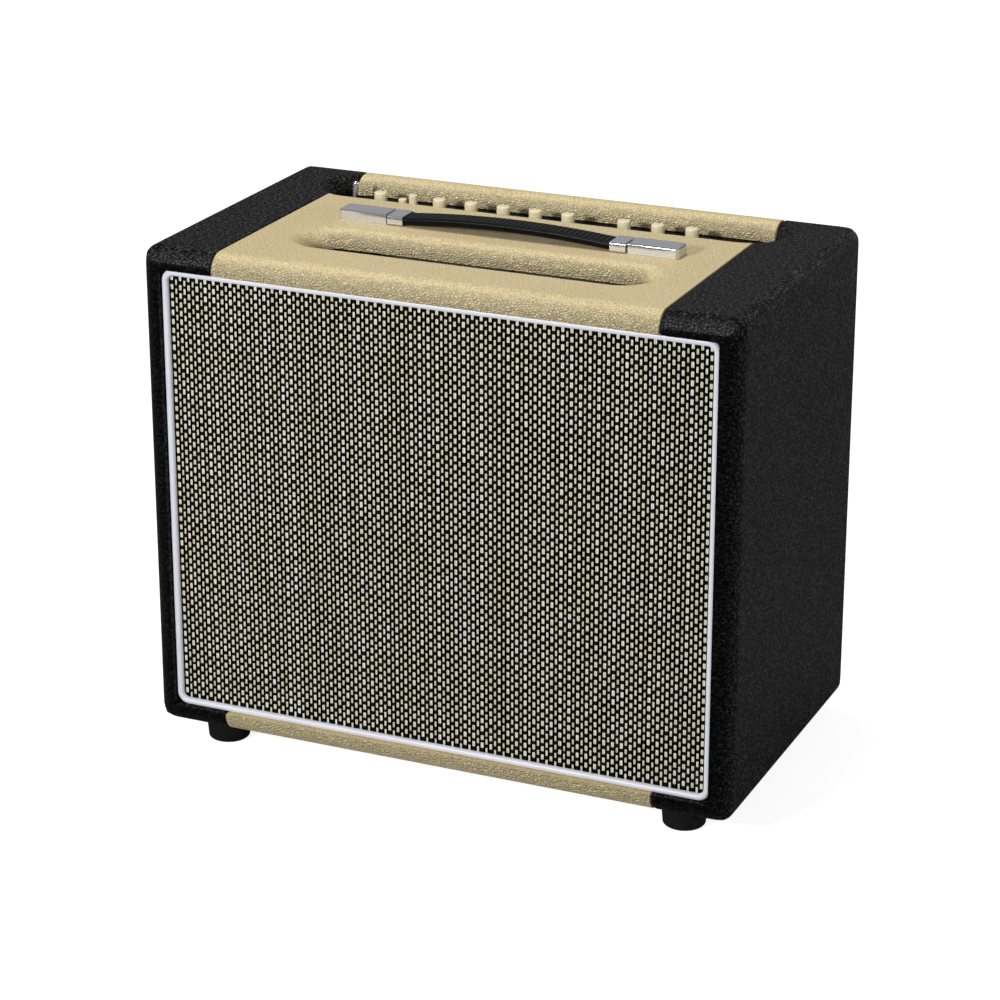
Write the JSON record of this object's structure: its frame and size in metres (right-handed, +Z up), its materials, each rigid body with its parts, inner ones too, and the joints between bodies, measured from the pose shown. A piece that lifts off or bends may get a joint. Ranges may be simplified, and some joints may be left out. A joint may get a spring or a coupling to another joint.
{
  "type": "guitar amplifier",
  "caption": "Combo guitar amplifier: two-tone covered cabinet with grille cloth and piping, strap handle, recessed top controls, open back with speaker and tube chassis.",
  "frame": {"origin": "on the floor under the middle of the cabinet, at the bottom of the feet", "axes": "+X to the right seen from the front, -Y out of the grille, +Z up"},
  "size_m": [0.52, 0.302, 0.4539],
  "materials": {
    "plywood": "satin",
    "black_covering": "grained",
    "cream_covering": "grained",
    "grille_cloth": "woven",
    "white_piping": "satin",
    "back_panel": "grained covering",
    "black_steel": "satin",
    "screw_steel": "zinc plated",
    "rubber": "matt",
    "chrome": "polished",
    "strap_rubber": "satin",
    "painted_steel": "satin",
    "gasket": "matt",
    "cone_paper": "matt paper",
    "dust_cap": "matt",
    "copper_coil": "wound wire",
    "spider_cloth": "corrugated cloth",
    "ferrite": "matt",
    "zinc_steel": "zinc plated",
    "panel_black": "satin",
    "cream_plastic": "satin",
    "black_plastic": "satin",
    "tube_glass": "clear",
    "socket": "ceramic"
  },
  "bodies": {
    "cabinet": {"baffle_board": "plywood", "battens": "plywood", "black_covering_left": "black_covering", "black_covering_right": "black_covering", "bottom_panel": "plywood", "chassis": "zinc_steel", "chassis_base": "zinc_steel", "control_panel": "panel_black", "cream_covering_bottom": "cream_covering", "cream_covering_rear_bar": "cream_covering", "cream_covering_top": "cream_covering", "foot_front_left": "rubber", "foot_front_right": "rubber", "foot_rear_left": "rubber", "foot_rear_right": "rubber", "grille_cloth": "grille_cloth", "grille_frame": "plywood", "handle_cap_left": "chrome", "handle_cap_right": "chrome", "handle_screws": "screw_steel", "jacks": "black_plastic", "left_side_panel": "plywood", "lower_back_panel": "back_panel", "mains_inlet": "black_plastic", "panel_components": "black_plastic", "right_side_panel": "plywood", "speaker_basket": "painted_steel", "speaker_bolts": "screw_steel", "speaker_gasket": "gasket", "speaker_magnet": "ferrite", "speaker_pole_plates": "zinc_steel", "speaker_spider": "spider_cloth", "speaker_surround": "cone_paper", "top_panel": "plywood", "transformers": "painted_steel", "tube_sockets": "socket", "upper_back_panel": "back_panel", "vacuum_tubes": "tube_glass", "vent_grille": "black_steel", "white_piping": "white_piping", "wood_screws": "screw_steel"},
    "handle": {"handle_strap": "strap_rubber", "handle_ferrule_left": "chrome", "handle_ferrule_right": "chrome"},
    "toggle": {"toggle_lever": "chrome"},
    "rocker": {"mains_rocker": "black_plastic"},
    "cone": {"speaker_cone": "cone_paper", "speaker_dust_cap": "dust_cap", "speaker_voice_coil": "copper_coil"},
    "pressed_button": {"button_in": "cream_plastic"},
    "raised_button": {"button_out": "cream_plastic"},
    "control_1": {"knob_1": "cream_plastic"},
    "control_2": {"knob_2": "cream_plastic"},
    "control_3": {"knob_3": "cream_plastic"},
    "control_4": {"knob_4": "cream_plastic"},
    "control_5": {"knob_5": "cream_plastic"},
    "control_6": {"knob_6": "cream_plastic"},
    "control_7": {"knob_7": "cream_plastic"},
    "control_8": {"knob_8": "cream_plastic"},
    "control_9": {"knob_9": "cream_plastic"}
  },
  "joints": [
    {"name": "knob_1_turn", "type": "hinge", "parent": "cabinet", "child": "control_1", "pos_m": [-0.159, 0.093, 0.427], "axis": [0, 0, 1], "range_deg": [-150, 150]},
    {"name": "knob_2_turn", "type": "hinge", "parent": "cabinet", "child": "control_2", "pos_m": [-0.103, 0.093, 0.427], "axis": [0, 0, 1], "range_deg": [-150, 150]},
    {"name": "knob_3_turn", "type": "hinge", "parent": "cabinet", "child": "control_3", "pos_m": [-0.073, 0.093, 0.427], "axis": [0, 0, 1], "range_deg": [-150, 150]},
    {"name": "knob_4_turn", "type": "hinge", "parent": "cabinet", "child": "control_4", "pos_m": [-0.043, 0.093, 0.427], "axis": [0, 0, 1], "range_deg": [-150, 150]},
    {"name": "knob_5_turn", "type": "hinge", "parent": "cabinet", "child": "control_5", "pos_m": [-0.013, 0.093, 0.427], "axis": [0, 0, 1], "range_deg": [-150, 150]},
    {"name": "knob_6_turn", "type": "hinge", "parent": "cabinet", "child": "control_6", "pos_m": [0.017, 0.093, 0.427], "axis": [0, 0, 1], "range_deg": [-150, 150]},
    {"name": "knob_7_turn", "type": "hinge", "parent": "cabinet", "child": "control_7", "pos_m": [0.068, 0.093, 0.427], "axis": [0, 0, 1], "range_deg": [-150, 150]},
    {"name": "knob_8_turn", "type": "hinge", "parent": "cabinet", "child": "control_8", "pos_m": [0.0985, 0.093, 0.427], "axis": [0, 0, 1], "range_deg": [-150, 150]},
    {"name": "knob_9_turn", "type": "hinge", "parent": "cabinet", "child": "control_9", "pos_m": [0.129, 0.093, 0.427], "axis": [0, 0, 1], "range_deg": [-150, 150]},
    {"name": "pressed_button_slide", "type": "slide", "parent": "cabinet", "child": "pressed_button", "axis": [0, 0, 1], "range_m": [0, 0.0045]},
    {"name": "raised_button_slide", "type": "slide", "parent": "cabinet", "child": "raised_button", "axis": [0, 0, 1], "range_m": [-0.0045, 0], "stiffness_N_per_m": 250},
    {"name": "toggle_flip", "type": "hinge", "parent": "cabinet", "child": "toggle", "pos_m": [-0.185, 0.093, 0.427], "axis": [1, 0, 0], "range_deg": [0, 26]},
    {"name": "rocker_flip", "type": "hinge", "parent": "cabinet", "child": "rocker", "pos_m": [-0.145, 0.13, 0.392], "axis": [1, 0, 0], "range_deg": [-20, 0]},
    {"name": "handle_lift", "type": "slide", "parent": "cabinet", "child": "handle", "axis": [0, 0, 1], "range_m": [0, 0.004]},
    {"name": "cone_travel", "type": "slide", "parent": "cabinet", "child": "cone", "axis": [0, 1, 0], "range_m": [-0.003, 0.003], "stiffness_N_per_m": 3000, "deforming": ["speaker_surround", "speaker_spider"]}
  ]
}
